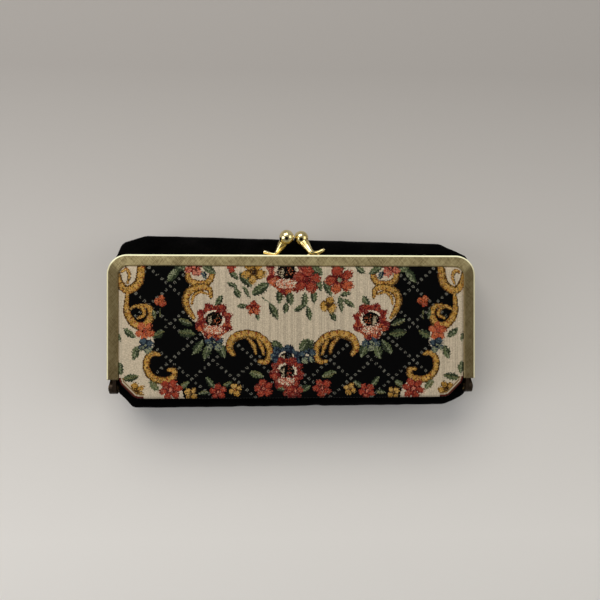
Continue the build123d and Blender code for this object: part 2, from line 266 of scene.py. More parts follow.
def blackVelvet():
    # a short pile: dark in front, paler where it is seen edge on
    mat, tree, shader = newMaterial(
        "blackVelvet", (6, 6, 6), 0.95, 0.0,
        **{"Sheen Weight": 0.3, "Sheen Roughness": 0.22, "Specular IOR Level": 0.02},
    )
    shader.inputs["Sheen Tint"].default_value = linear((120, 116, 118))
    pile = stretchedNoise(tree, 1400, (1, 1, 1), 0.0, 2.0)
    nap = stretchedNoise(tree, 45, (1, 2.2, 1), 0.3, 3.0)
    tone = maths(tree, "ADD", maths(tree, "MULTIPLY", pile, 0.45), maths(tree, "MULTIPLY", nap, 0.55))
    colour = ramp(tree, tone, [(0.36, (1, 1, 1)), (0.52, (4, 4, 4)), (0.68, (11, 10, 10))])
    tree.links.new(colour, shader.inputs["Base Color"])
    bump(tree, shader, pile, 0.5, 0.0002)
    return mat


def liningSatin():
    mat, tree, shader = newMaterial("liningSatin", (24, 22, 24), 0.5, 0.0, **{"Sheen Weight": 0.2})
    warp = stretchedNoise(tree, 1500, (1, 0.1, 1), 0.0, 2.0)
    colour = ramp(tree, warp, [(0.35, (17, 15, 17)), (0.65, (38, 35, 38))])
    tree.links.new(colour, shader.inputs["Base Color"])
    bump(tree, shader, warp, 0.2, 0.0001)
    return mat


def plainFibre(name, low, high, scale):
    mat, tree, shader = newMaterial(name, high, 0.9)
    fibre = stretchedNoise(tree, scale, (1, 0.3, 1), 0.6, 4.0)
    tree.links.new(ramp(tree, fibre, [(0.35, low), (0.65, high)]), shader.inputs["Base Color"])
    bump(tree, shader, fibre, 0.3, 0.0002)
    return mat


def wovenTapestry():
    # stitch colours come from the mesh, the thread relief from its own lattice
    mat, tree, shader = newMaterial(
        "wovenTapestry", (190, 178, 156), 0.88, 0.0, **{"Specular IOR Level": 0.05},
    )
    stitches = add(tree, "ShaderNodeVertexColor", layer_name="stitches")
    fuzz = stretchedNoise(tree, 2200, (1, 1, 1), 0.0, 2.0)
    shade = ramp(tree, fuzz, [(0.3, (214, 214, 214)), (0.7, (255, 255, 255))])
    mix = add(tree, "ShaderNodeMix", data_type="RGBA", blend_type="MULTIPLY")
    mix.inputs[0].default_value = 1.0
    tree.links.new(stitches.outputs["Color"], mix.inputs[6])
    tree.links.new(shade, mix.inputs[7])
    tree.links.new(mix.outputs[2], shader.inputs["Base Color"])
    coords = add(tree, "ShaderNodeTexCoord")
    split = add(tree, "ShaderNodeSeparateXYZ")
    tree.links.new(coords.outputs["Object"], split.inputs[0])
    pitch = math.pi / (chart["cell"] * mm)
    across = maths(tree, "ABSOLUTE", maths(tree, "SINE", maths(tree, "MULTIPLY", split.outputs["X"], pitch)))
    along = maths(tree, "ABSOLUTE", maths(tree, "SINE", maths(tree, "MULTIPLY", split.outputs["Y"], pitch)))
    bump(tree, shader, maths(tree, "MULTIPLY", across, along), 0.55, 0.00012)
    return mat


# The tapestry chart: one colour for each stitch. Motifs are placed one by one in columns and rows of
# "pitch" millimetres, counted from the middle column and from the row that lies at "rowY".
chart = {"middle": 291.7, "row": 300.0, "rowY": 10.1, "pitch": 0.5155, "cell": 0.43, "seed": 7}
thread = {
    "cream": (193, 178, 153), "sand": (166, 150, 122), "black": (3, 3, 3), "gold": (170, 126, 54),
    "honey": (188, 147, 76), "umber": (84, 56, 24), "brown": (56, 38, 22), "olive": (102, 100, 62),
    "leaf": (90, 98, 66), "deep": (50, 58, 40), "mist": (126, 130, 102), "slate": (62, 76, 84),
    "navy": (28, 35, 48), "red": (148, 58, 40), "flame": (178, 90, 54), "rust": (130, 58, 30),
    "crimson": (102, 30, 28), "pink": (184, 110, 88), "pale": (204, 188, 162), "dot": (106, 104, 94),
}


class Chart:
    def __init__(self, col, row, noise):
        self.col, self.row, self.noise = col, row, noise
        self.colour = np.zeros((len(col), 3))
        self.fill(np.ones(len(col), bool), "cream")

    def fill(self, mask, name):
        self.colour[mask] = thread[name]

    def local(self, cx, cy, turn=0.0, flip=1):
        # jittered a little, so that edges are ragged as stitches are
        x = (self.col + self.noise[0] * 0.45 - cx) * flip
        y = self.row + self.noise[1] * 0.45 - cy
        c, s = math.cos(turn), math.sin(turn)
        return x * c + y * s, -x * s + y * c

    def inside(self, corners):
        x, y = self.col + self.noise[0] * 0.5, self.row + self.noise[1] * 0.5
        hit = np.zeros(len(x), bool)
        for (x0, y0), (x1, y1) in zip(corners, corners[1:] + corners[:1]):
            crosses = (y0 > y) != (y1 > y)
            hit ^= crosses & (x < (x1 - x0) * (y - y0) / ((y1 - y0) or 1e-9) + x0)
        return hit

    def along(self, points, width):
        # distance and place along a smooth line through the points
        pts = [np.array(p, float) for p in points]
        fine = []
        for i in range(len(pts) - 1):
            a, b = pts[max(i - 1, 0)], pts[i]
            c, d = pts[i + 1], pts[min(i + 2, len(pts) - 1)]
            for t in np.linspace(0, 1, 7)[:-1]:
                bend = (2 * a - 5 * b + 4 * c - d) * t * t + (3 * b - a - 3 * c + d) * t ** 3
                fine.append(0.5 * (2 * b + (c - a) * t + bend))
        fine.append(pts[-1])
        fine = np.array(fine)
        x, y = self.col + self.noise[0] * 0.35, self.row + self.noise[1] * 0.35
        best, where, side = np.full(len(x), 1e9), np.zeros(len(x)), np.zeros(len(x))
        for i, (p, q) in enumerate(zip(fine[:-1], fine[1:])):
            d = q - p
            size = max(d @ d, 1e-9)
            t = np.clip(((x - p[0]) * d[0] + (y - p[1]) * d[1]) / size, 0, 1)
            ox, oy = x - p[0] - t * d[0], y - p[1] - t * d[1]
            dist = np.hypot(ox, oy)
            near = dist < best
            best[near], where[near] = dist[near], (i + t[near]) / (len(fine) - 1)
            side[near] = np.sign(d[0] * oy[near] - d[1] * ox[near])
        return best / np.interp(where, np.linspace(0, 1, len(width)), width), where, side

    def scroll(self, points, width, flip=0):
        # gold scroll: dark outline on one side, honey along the middle
        if flip:
            points = [(flip - x, y) for x, y in points]
        d, where, side = self.along(points, width)
        if flip:
            side = -side
        self.fill(d < 1.02, "umber")
        self.fill(d < 0.8, "gold")
        self.fill((d < 0.42) & (np.sin(where * 60) > -0.3), "honey")
        self.fill((d < 0.95) & (d > 0.5) & (side > 0) & (self.noise[0] > -0.55), "umber")
        self.fill((d < 0.9) & (np.sin(where * 95) > 0.86) & (side < 0), "rust")

    def leaf(self, cx, cy, length, width, turn, tones="leaf deep mist", flip=0):
        tones = tones.split()
        if flip:
            cx, turn = flip - cx, math.pi - turn
        x, y = self.local(cx, cy, turn)
        edge = width * (1 - (x / length) ** 2) * (0.86 + 0.14 * np.sin(x * 2.1))
        body = (np.abs(x) < length) & (np.abs(y) < edge)
        self.fill(body, tones[0])
        self.fill(body & (y > edge * 0.25), tones[1])
        self.fill(body & (np.abs(y) < 0.55), tones[2])
        self.fill(body & (np.sin(x * 1.5 + np.abs(y) * 1.5) > 0.75), tones[1])

    def rose(self, cx, cy, size, turn=0.0, flip=0, outer="red flame crimson", lobes=8):
        outer = outer.split()
        if flip:
            cx = flip - cx
        x, y = self.local(cx, cy, 0.0, -1 if flip else 1)
        n0, n1 = self.noise[0], self.noise[1]
        r, a = np.hypot(x, y) / size * (1 + 0.05 * n0), np.arctan2(y, x) + turn
        edge = 0.9 + 0.09 * np.cos(lobes * a + 0.9 * np.sin(3 * a))
        body = r < edge
        self.fill(body, outer[0])
        self.fill(body & (y + size * 0.35 * n1 > size * 0.2), outer[1])
        self.fill(body & (np.cos(lobes * a + 0.9 * np.sin(3 * a) + r * 3) < -0.62) & (r > 0.5), outer[2])
        self.fill(body & (r > edge - 0.07) & (n1 > -0.1), outer[2])
        self.fill(body & (np.abs(r - 0.68) < 0.05) & (np.sin(a * 5) > -0.2), outer[2])
        # folded heart with a broken pale rim
        hx, hy = x / (size * 0.56), (y + size * 0.1) / (size * 0.47)
        heart = np.hypot(hx, hy) * (1 + 0.08 * n1)
        self.fill(heart < 1.04, outer[2])
        self.fill((heart < 0.98) & (heart > 0.68) & (np.sin(a * 3 + 0.6) + 0.9 * n0 > 0.0), "pale")
        self.fill(heart < 0.76, "black")
        self.fill((heart < 0.64) & (hx < -0.2) & (hy > -0.35) & (n0 > -0.3), "sand")
        self.fill((heart < 0.6) & (np.sin(hx * 9 + hy * 5) > 0.4) & (n1 > -0.2), "brown")
        self.fill((heart < 0.62) & (hx > 0) & (n0 * n1 > 0.3), outer[1])
        # lower lip
        lip = np.hypot(x / (size * 0.54), (y - size * 0.46) / (size * 0.23)) * (1 + 0.1 * n0)
        self.fill(lip < 1.0, "pink")
        self.fill((lip < 1.0) & (n1 > 0.25), "pale")
        self.fill((lip < 1.0) & (n1 < -0.45), outer[1])
        self.fill((np.abs(lip - 1.0) < 0.1) & (n0 > -0.2), outer[2])

    def blossom(self, cx, cy, size, petals, tones, turn=0.0, heart="pale", flip=0):
        tones = tones.split()
        if flip:
            cx, turn = flip - cx, -turn
        x, y = self.local(cx, cy)
        n0, n1 = self.noise[0], self.noise[1]
        r, a = np.hypot(x, y) / size * (1 + 0.09 * n0), np.arctan2(y, x) + turn
        lobe = np.abs(np.cos(petals * a / 2 + 0.25 * np.sin(2 * a))) ** 0.55
        body = r < 0.5 + 0.5 * lobe
        self.fill(body, tones[0])
        self.fill(body & (y + size * 0.4 * n1 > size * 0.2), tones[1])
        self.fill(body & (lobe < 0.6) & (r > 0.2), tones[2])
        self.fill(body & (r > 0.34 + 0.5 * lobe) & (n1 > 0.3), tones[2])
        self.fill((r < 0.34) & (n0 > -0.5), tones[2])
        self.fill((r < 0.3) & (n1 > 0.45), "black")
        self.fill(r < 0.15, heart)

    def trellis(self, mask, middle):
        # lattice of pale dots on the black ground, mirrored about the middle
        x, y = middle - np.abs(self.col - middle) - 170.0, self.row - 360.0
        u, v = x / 21.0 + y / 18.4, x / 21.0 - y / 18.4
        for a, b in ((u, v), (v, u)):
            line = np.abs((a + 1) % 2 - 1) * 14.0
            dash = np.abs((b * 14.0 + 2.9) % 5.6 - 2.9)
            self.fill(mask & (line < 1.3) & (dash < 1.1) & (self.noise[2] > -0.75), "dot")
            self.fill(mask & (line < 0.5) & (dash < 0.5), "black")


def paintChart(col, row):
    rng = np.random.default_rng(chart["seed"])
    noise = rng.uniform(-1, 1, (4, len(col)))
    c = Chart(col, row, noise)
    m = 582.5  # left and right columns of a pair add up to this
    field = [
        (143, 255), (143, 282), (137, 290), (128, 293), (127, 300), (126, 312), (130, 322), (140, 328),
        (152, 330), (154, 342), (149, 354), (146, 365), (150, 374), (160, 381), (172, 381), (181, 386),
        (184, 402), (291.3, 402), (291.3, 350), (280, 352), (272, 343), (258, 336), (245, 332), (233, 336),
        (226, 346), (206, 340), (194, 322), (188, 317), (183, 305), (184, 295), (190, 285), (186, 276),
        (180, 266), (182, 255),
    ]
    dark = c.inside(field) | c.inside([(m - x, y) for x, y in field][::-1])
    c.fill(dark, "black")
    c.trellis(dark, m / 2)
    scrolls = [
        # outer border scrolls
        ([(141, 255), (141, 272), (138, 284), (128, 290), (121, 284), (118, 274)],
         [3.6, 4.2, 4.4, 4.0, 3.2]),
        ([(123, 272), (127, 270), (130, 276), (128, 283)], [1.6, 2.0, 1.4]),
        ([(128, 292), (127, 303), (128, 314), (135, 324), (145, 325), (151, 316), (149, 307), (141, 305)],
         [1.6, 2.6, 3.6, 4.0, 4.0, 3.6, 2.8, 1.8]),
        ([(131, 309), (137, 306), (143, 309), (144, 315), (138, 318)], [1.2, 2.0, 2.0, 1.4]),
        # inner border scrolls
        ([(187, 270), (188, 279), (196, 284), (206, 283), (211, 275), (209, 270)],
         [2.4, 3.4, 3.8, 3.2, 2.2]),
        ([(210, 297), (208, 289), (198, 287), (188, 292), (185, 302), (189, 312), (193, 318)],
         [2.0, 3.0, 3.6, 3.8, 3.6, 3.0, 2.0]),
        ([(206, 294), (199, 292), (193, 296), (191, 304)], [1.2, 1.8, 1.8, 1.2]),
        # low arch of leaves
        ([(232, 354), (228, 347), (232, 338), (243, 334), (256, 336), (265, 343), (268, 352),
         (265, 361), (258, 361)],
         [2.4, 3.6, 4.2, 4.4, 4.2, 3.6, 3.2, 3.0, 2.0]),
        ([(246, 338), (252, 345), (254, 353)], [1.2, 2.4, 1.2]),
        ([(256, 340), (260, 347), (262, 354)], [1.2, 2.2, 1.2]),
        # low corner scroll
        ([(159, 354), (152, 353), (147, 359), (147, 369), (153, 377), (163, 380), (172, 377),
         (174, 370), (168, 369)],
         [1.8, 3.0, 3.4, 3.4, 3.6, 3.8, 3.4, 2.8, 1.8]),
    ]
    leaves = [
        (173, 275, 9, 4.6, -0.9, "mist deep leaf"), (180, 268, 7, 4.0, 0.4, "leaf deep mist"),
        (186, 333, 9, 4.5, 0.1, "leaf deep olive"), (185, 322, 8, 3.6, 0.4, "olive deep mist"),
        (218, 301, 7, 4.0, -1.1, "leaf deep mist"), (197, 347, 9, 4.4, 2.2, "leaf deep mist"),
        (206, 351, 9, 4.6, 1.9, "deep leaf mist"), (220, 349, 9, 5.0, 1.2, "leaf deep mist"),
        (154, 314, 5, 2.6, 1.4, "olive deep mist"), (130, 333, 8, 3.8, 0.7, "leaf deep mist"),
        (158, 334, 7, 4.2, -0.5, "leaf deep olive"), (136, 352, 8, 4.4, 1.9, "deep leaf mist"),
        (121, 368, 7, 4.0, 1.5, "deep leaf mist"), (120, 337, 5, 2.0, 1.4, "deep leaf mist"),
        (131, 377, 9, 4.4, -0.2, "leaf deep olive"), (154, 385, 7, 4.0, 0.8, "olive leaf mist"),
        (184, 384, 6, 3.0, -0.5, "olive leaf mist"), (209, 382, 7, 3.2, 0.9, "leaf deep mist"),
        (203, 392, 5, 2.6, -0.2, "olive deep mist"), (226, 384, 6, 2.6, -0.6, "olive deep mist"),
        (255, 374, 8, 3.8, 0.3, "olive leaf mist"), (276, 346, 8, 5.0, 0.9, "deep leaf mist"),
    ]
    flowers = [
        ("blossom", 160, 301, 6.0, 3, "flame red rust", 1.2, "flame"),
        ("leaf", 160, 314, 6, 0.7, 1.57, "olive leaf olive"),
        ("blossom", 145, 331, 9.5, 5, "flame flame red", 0.9, "red"),
        ("blossom", 146, 345, 8.0, 4, "slate mist navy", 0.5, "mist"),
        ("blossom", 170, 389, 11.5, 6, "red red crimson", 0.2, "pink"),
        ("blossom", 213, 342, 9.5, 5, "slate mist navy", 0.3, "mist"), ("rose", 213, 321, 19.5, 0.3),
        ("blossom", 217, 391, 8.5, 5, "red red crimson", 0.4, "pink"),
        ("blossom", 234, 389, 6.5, 4, "honey gold umber", 0.4, "rust"),
        ("blossom", 190, 393, 6.5, 4, "honey gold umber", 0.9, "umber"),
        ("blossom", 136, 390, 9, 5, "gold honey umber", 0.5, "umber"),
        ("blossom", 193, 267, 10, 4, "red pink crimson", 0.5, "pink"),
        ("leaf", 208, 270, 8, 4.2, 0.5, "deep leaf mist"),
        ("leaf", 203, 275, 5, 3.0, 1.2, "navy slate mist"),
        # low middle posy
        ("blossom", 277, 355, 9.0, 5, "slate mist navy", 0.8, "pale"),
        ("blossom", 262, 388, 9.5, 5, "red red crimson", 0.5, "pink"),
        ("leaf", 279, 388, 6, 3.4, 0.4, "leaf deep mist"),
        ("blossom", 289, 391, 8.0, 5, "red crimson crimson", 0.9, "pink"),
    ]
    for flip in (0, m):
        for points, width in scrolls:
            c.scroll(points, width, flip)
        for leaf in leaves:
            c.leaf(*leaf, flip)
        for kind, *values in flowers:
            getattr(c, kind)(*values, flip)
    # middle of the medallion, not a mirrored pair
    c.rose(285, 359, 15, 0.5, 0, "slate slate navy", 7)
    c.rose(285, 373, 18, 0.5, 0, "red red crimson", 9)
    for cx, cy, length, width, turn in (
        (232, 275, 7, 3.4, 0.8), (231, 285, 6, 3.0, 0.5), (244, 280, 10, 5.0, 0.9), (259, 289, 11, 6.0, -0.6),
        (236, 293, 6, 4.0, 1.1), (245, 292, 8, 2.4, 1.0), (272, 311, 10, 4.6, 1.1), (278, 296, 8, 4.6, 1.7),
        (288, 298, 8, 4.6, 1.4), (264, 300, 6, 1.0, 0.6), (284, 308, 6, 3.6, 1.7), (241, 306, 6, 3.0, 0.0),
        (256, 316, 5, 2.6, 1.5), (301, 270, 7, 5.0, 0.8), (314, 270, 9, 6.0, 0.6), (316, 283, 9, 4.6, 1.1),
        (326, 288, 9, 4.4, 1.1), (303, 300, 8, 4.0, 1.6), (298, 308, 7, 3.6, -0.5), (307, 313, 8, 3.6, 1.4),
        (312, 296, 8, 4.0, 1.5), (331, 316, 6, 3.4, 1.0), (339, 304, 9, 3.4, 1.4), (347, 303, 8, 3.4, 0.6),
        (344, 294, 6, 2.6, -0.2), (337, 268, 8, 2.6, 0.1), (359, 270, 6, 3.6, 0.6), (303, 345, 8, 6.0, -0.9),
    ):
        c.leaf(cx, cy, length, width, turn)
    c.blossom(252, 272, 12.5, 5, "gold honey umber", 0.9, "brown")
    c.blossom(252, 308, 7.5, 5, "red flame crimson", 0.4, "flame")
    c.blossom(230, 268, 5.0, 3, "red red crimson", 0.6, "red")
    c.rose(285, 274, 22, 0.9, 0, "pink flame crimson", 7)
    c.blossom(305, 280, 14, 5, "red red crimson", 0.2, "crimson")
    c.blossom(338, 280, 15, 5, "red flame crimson", 0.6, "mist")
    c.blossom(327, 305, 9, 3, "gold honey umber", 1.3, "brown")
    # stray dark and neighbouring threads, more of them in the flowers
    warm = c.colour[:, 0] > c.colour[:, 2] * 1.55
    dim = warm & (noise[2] > 0.66)
    c.colour[dim] *= 0.5
    lit = warm & (noise[2] < -0.8)
    c.colour[lit] = c.colour[lit] * 0.55 + np.array(thread["sand"]) * 0.45
    leafy = (c.colour[:, 1] > c.colour[:, 0]) & (c.colour.sum(1) > 90)
    c.colour[leafy & (noise[2] > 0.7)] *= 0.45
    # uneven dye from one stitch to the next
    wale = np.round((col - chart["middle"]) * chart["pitch"] / chart["cell"] - 0.5)
    ribs = np.where(wale % 2 == 0, 0.04, -0.04)
    tone = 1 + 0.06 * noise[3][:, None] + ribs[:, None]
    return np.clip(c.colour * tone, 0, 255)


# Outlines in millimetres
def roundedLoop(corners, radii, step=0.8):
    pts = []
    n = len(corners)
    for i in range(n):
        p = np.array(corners[i], float)
        a = np.array(corners[i - 1], float) - p
        b = np.array(corners[(i + 1) % n], float) - p
        la, lb = np.hypot(*a), np.hypot(*b)
        a, b = a / la, b / lb
        half = math.acos(float(np.clip(a @ b, -1, 1))) / 2
        cut = radii[i] / math.tan(half)
        middle = p + (a + b) / np.hypot(*(a + b)) * radii[i] / math.sin(half)
        start, end = p + a * cut, p + b * cut
        a0 = math.atan2(*(start - middle)[::-1])
        a1 = math.atan2(*(end - middle)[::-1])
        turn = (a1 - a0 + math.pi) % (2 * math.pi) - math.pi
        for t in np.linspace(0, 1, max(3, int(abs(turn) * radii[i] / step) + 2)):
            pts.append(middle + radii[i] * np.array([math.cos(a0 + turn * t), math.sin(a0 + turn * t)]))
    return np.array(pts)


def resample(loop, count, start):
    # even points round a closed loop, from the one nearest start
    closed = np.vstack([loop, loop[:1]])
    length = np.hypot(*np.diff(closed, axis=0).T)
    s = np.concatenate([[0], np.cumsum(length)])
    fine = np.linspace(0, s[-1], 4000, endpoint=False)
    xy = np.stack([np.interp(fine, s, closed[:, k]) for k in (0, 1)], 1)
    begin = fine[np.argmin(np.hypot(*(xy - np.array(start)).T))]
    at = (begin + np.linspace(0, s[-1], count, endpoint=False)) % s[-1]
    return np.stack([np.interp(at, s, closed[:, k]) for k in (0, 1)], 1)


def tub(half, low, top, cut, lowRound, topRound):
    # a flat outline with cut lower corners: half width, low edge, top edge, cut and rounding
    corners = [
        (-half + cut, low), (half - cut, low), (half, low + cut),
        (half, top), (-half, top), (-half, low + cut),
    ]
    return roundedLoop(corners, [lowRound, lowRound, lowRound, topRound, topRound, lowRound])


mouthTop = place["crownY"] - place["band"] - 0.3
panelLoop = tub(place["mouth"] - 0.3, place["hingeY"] - 5.1, mouthTop, 8.2, 6.0, 4.7)


def nearest(points, loop):
    # nearest point of a closed loop, and how far inside it each point is
    a, b = loop, np.roll(loop, -1, axis=0)
    best = np.full(len(points), 1e9)
    spot = np.zeros_like(points)
    for p, q in zip(a, b):
        d = q - p
        t = np.clip(((points - p) @ d) / max(d @ d, 1e-12), 0, 1)[:, None]
        on = p + t * d
        dist = np.hypot(*(points - on).T)
        near = dist < best
        best[near], spot[near] = dist[near], on[near]
    inside = np.zeros(len(points), bool)
    for p, q in zip(a, b):
        crosses = (p[1] > points[:, 1]) != (q[1] > points[:, 1])
        slope = (q[0] - p[0]) * (points[:, 1] - p[1]) / ((q[1] - p[1]) or 1e-9)
        inside ^= crosses & (points[:, 0] < slope + p[0])
    return spot, np.where(inside, best, -best)


# Tapestry panel: a lattice of stitches, padded, with its edges turned down
tapestry = {
    "edgeZ": 29.75, "faceZ": 30.95, "crown": 0.35, "roll": 2.2, "hemZ": 27.1, "hemTurn": 0.35,
    # threads of the folded lower corners, by their depth from the edge
    "cutFrom": 76.5, "cutThreads": [
        (2.6, (120, 92, 52)), (2.0, "cream"), (1.4, (96, 62, 44)), (1.0, "crimson"), (0.5, (46, 20, 18)),
    ],
    "paleFrom": 66, "paleEdge": 0.5,
}


def tapestryPanel():
    cell = chart["cell"]
    low, high = panelLoop.min(0), panelLoop.max(0)
    nx, ny = int((high[0] - low[0]) / cell) + 2, int((high[1] - low[1]) / cell) + 2
    x0, y0 = -nx * cell / 2, high[1] - ny * cell + cell
    gx, gy = np.meshgrid(x0 + np.arange(nx + 1) * cell, y0 + np.arange(ny + 1) * cell)
    verts = np.stack([gx.ravel(), gy.ravel()], 1)
    cx, cy = np.meshgrid(x0 + (np.arange(nx) + 0.5) * cell, y0 + (np.arange(ny) + 0.5) * cell)
    centres = np.stack([cx.ravel(), cy.ravel()], 1)
    spot, depth = nearest(centres, panelLoop)
    keep = np.nonzero(depth > 0.12 * cell)[0]
    rowOf, colOf = keep // nx, keep % nx
    quads = np.stack([
        rowOf * (nx + 1) + colOf, rowOf * (nx + 1) + colOf + 1,
        (rowOf + 1) * (nx + 1) + colOf + 1, (rowOf + 1) * (nx + 1) + colOf,
    ], 1)
    used, index = np.unique(quads, return_inverse=True)
    quads = index.reshape(quads.shape)
    verts = verts[used]
    # rim vertices belong to fewer than four stitches
    count = np.bincount(quads.ravel(), minlength=len(verts))
    spot, depth = nearest(verts, panelLoop)
    rim = count < 4
    verts[rim] = spot[rim]
    depth = np.where(rim, 0.0, np.maximum(depth, 0.0))
    t = np.clip(depth / tapestry["roll"], 0, 1)
    rise = np.sqrt(np.clip(1 - (1 - t) ** 2, 0, 1))
    z = tapestry["edgeZ"] + (tapestry["faceZ"] - tapestry["edgeZ"]) * rise
    z += tapestry["crown"] * np.clip(depth / 30, 0, 1) ** 0.6
    z += 0.05 * np.sin(verts[:, 0] * 0.11 + 1.0) * np.sin(verts[:, 1] * 0.16) * t
    points = [tuple(p) for p in np.column_stack([verts, z])]
    piece = meshPiece("tapestryFace", points, [tuple(int(i) for i in q) for q in quads], wovenTapestry())
    # colour of each stitch
    flat = centres[keep]
    col = chart["middle"] + flat[:, 0] / chart["pitch"]
    row = chart["row"] - (flat[:, 1] - chart["rowY"]) / chart["pitch"]
    rgb = paintChart(col, row)
    spot, depth = nearest(flat, panelLoop)
    belowLegs = flat[:, 1] < place["legY"] + 1.0
    cut = belowLegs & (np.abs(spot[:, 0]) > tapestry["cutFrom"])
    edge = belowLegs & ~cut
    for limit, tone in tapestry["cutThreads"]:
        rgb[cut & (depth < limit)] = thread.get(tone, tone)
    pale = edge & (depth < tapestry["paleEdge"]) & (np.abs(flat[:, 0]) > tapestry["paleFrom"])
    rgb[pale] = thread["cream"]
    values = np.array([linear(c)[:3] for c in rgb])
    bm = bmesh.new()
    bm.from_mesh(piece.data)
    layer = bm.loops.layers.float_color.new("stitches")
    bm.faces.ensure_lookup_table()
    for face, value in zip(bm.faces, values):
        for loop in face.loops:
            loop[layer] = (*value, 1.0)
    # turn the rim down: under the brass at the frame, round the board below the legs
    rimEdges = [e for e in bm.edges if e.is_boundary]
    for drop, out in ((0.25, 0.25), (0.9, 0.35), (None, 0.3), (None, -0.9)):
        made = bmesh.ops.extrude_edge_only(bm, edges=rimEdges)["geom"]
        newVerts = [g for g in made if isinstance(g, bmesh.types.BMVert)]
        rimEdges = [g for g in made if isinstance(g, bmesh.types.BMEdge) and g.is_boundary]
        for v in newVerts:
            x, y = v.co.x / mm, v.co.y / mm
            if y > place["legY"] + 3.0:
                top = y > place["crownY"] - place["band"] - 3.0 and abs(x) < 86
                away = Vector((0, 1)) if top else Vector((math.copysign(1, x), 0))
                amount = 0.55 if out > 0 else 0.0
                v.co.x += away.x * amount * mm
                v.co.y += away.y * amount * mm
                v.co.z = (tapestry["edgeZ"] - 0.02) * mm
            else:
                v.co.z = (tapestry["hemZ"] if drop is None else tapestry["edgeZ"] - drop) * mm
                inward = Vector((-x, 8 - y)).normalized()
                push = tapestry["hemTurn"] * 0.3 if out > 0 else -tapestry["hemTurn"] * 3
                v.co.x -= inward.x * push * mm
                v.co.y -= inward.y * push * mm
        hem = [f for f in bm.faces if len(f.verts) == 4 and any(v in newVerts for v in f.verts)]
        for face in set(hem):
            source = max((lp[layer] for lp in face.loops), key=lambda c: c[3])
            for loop in face.loops:
                loop[layer] = source
    bm.to_mesh(piece.data)
    bm.free()
    piece.data.shade_smooth()
    print("tapestry: stitches", len(keep))
    return piece


# Soft velvet body behind the frame. Its outline is the real one's, uneven as stuffed cloth is.
velvet = {
    "outline": [
        ((-84.5, -47.3), 4.0), ((82.5, -46.6), 7.0), ((93.8, -41.4), 4.5), ((94.8, -30.0), 8.0),
        ((94.9, 34.0), 1.5), ((80.0, 40.6), 9.0), ((-14.0, 42.4), 60.0), ((-78.0, 44.2), 8.0),
        ((-90.2, 40.6), 3.5), ((-94.4, 32.0), 3.5), ((-94.6, -36.5), 4.0),
    ],
    "points": 300, "gather": 0.3, "seed": 3, "pressure": 24.0, "frames": 20, "most": 1.2,
    "heldAbove": 20.9, "heldBelow": 0.2,
    # share of the way from neck to outline, draw-in towards the middle, height, strength of the gathers
    "stations": [
        (-0.16, 0.0, 21.3, 0.0), (-0.16, 0.0, 24.0, 0.0), (0.0, 0.0, 24.05, 0.0), (0.0, 0.0, 22.3, 0.2),
        (0.10, 0.0, 21.45, 0.6), (0.26, 0.0, 21.3, 1.0), (0.44, 0.0, 21.3, 1.0), (0.62, 0.0, 21.1, 1.0),
        (0.77, 0.0, 20.7, 0.9), (0.89, 0.0, 19.9, 0.8), (0.965, 0.0, 18.6, 0.6), (1.0, 0.0, 16.8, 0.5),
        (1.005, 0.0, 14.2, 0.4), (1.0, 0.0, 11.2, 0.4), (1.0, 0.008, 8.2, 0.3), (1.0, 0.022, 5.6, 0.3),
        (1.0, 0.045, 3.3, 0.2), (1.0, 0.075, 1.6, 0.1), (1.0, 0.11, 0.5, 0.0), (1.0, 0.15, 0.03, 0.0),
        (1.0, 0.24, 0.0, 0.0), (1.0, 0.4, 0.0, 0.0), (1.0, 0.6, 0.0, 0.0), (1.0, 0.8, 0.0, 0.0),
        (1.0, 0.94, 0.0, 0.0),
    ],
}


def puffOut(piece, held, pressure, frames, most):
    # the cloth is blown up a little by its stuffing, and no point moves further than "most"
    start = np.empty(len(piece.data.vertices) * 3)
    piece.data.vertices.foreach_get("co", start)
    pins = piece.vertex_groups.new(name="held")
    for index in range(len(piece.data.vertices)):
        pins.add([index], held(piece.data.vertices[index].co / mm), "REPLACE")
    cloth = piece.modifiers.new("stuffing", "CLOTH")
    cloth.settings.quality = 6
    cloth.settings.mass = 0.2
    cloth.settings.tension_stiffness = cloth.settings.compression_stiffness = 20
    cloth.settings.shear_stiffness = 8
    cloth.settings.bending_stiffness = 0.6
    cloth.settings.use_pressure = True
    cloth.settings.uniform_pressure_force = pressure
    cloth.settings.vertex_group_mass = "held"
    cloth.settings.effector_weights.gravity = 0
    cloth.collision_settings.use_collision = False
    for frameNumber in range(1, frames + 1):
        scene.frame_set(frameNumber)
    graph = bpy.context.evaluated_depsgraph_get()
    blown = piece.evaluated_get(graph).to_mesh()
    moved = np.empty_like(start)
    blown.vertices.foreach_get("co", moved)
    piece.evaluated_get(graph).to_mesh_clear()
    step = (moved - start).reshape(-1, 3)
    size = np.linalg.norm(step, axis=1)
    print("puffed: mean", round(float(size.mean()) / mm, 3), "most", round(float(size.max()) / mm, 3))
    step *= (np.minimum(size, most * mm) / np.maximum(size, 1e-9))[:, None]
    result = start.reshape(-1, 3) + step
    result[:, 2] = np.maximum(result[:, 2], 0.0)
    piece.modifiers.remove(cloth)
    piece.vertex_groups.remove(pins)
    piece.data.vertices.foreach_set("co", result.ravel())
    piece.data.update()
    scene.frame_set(1)


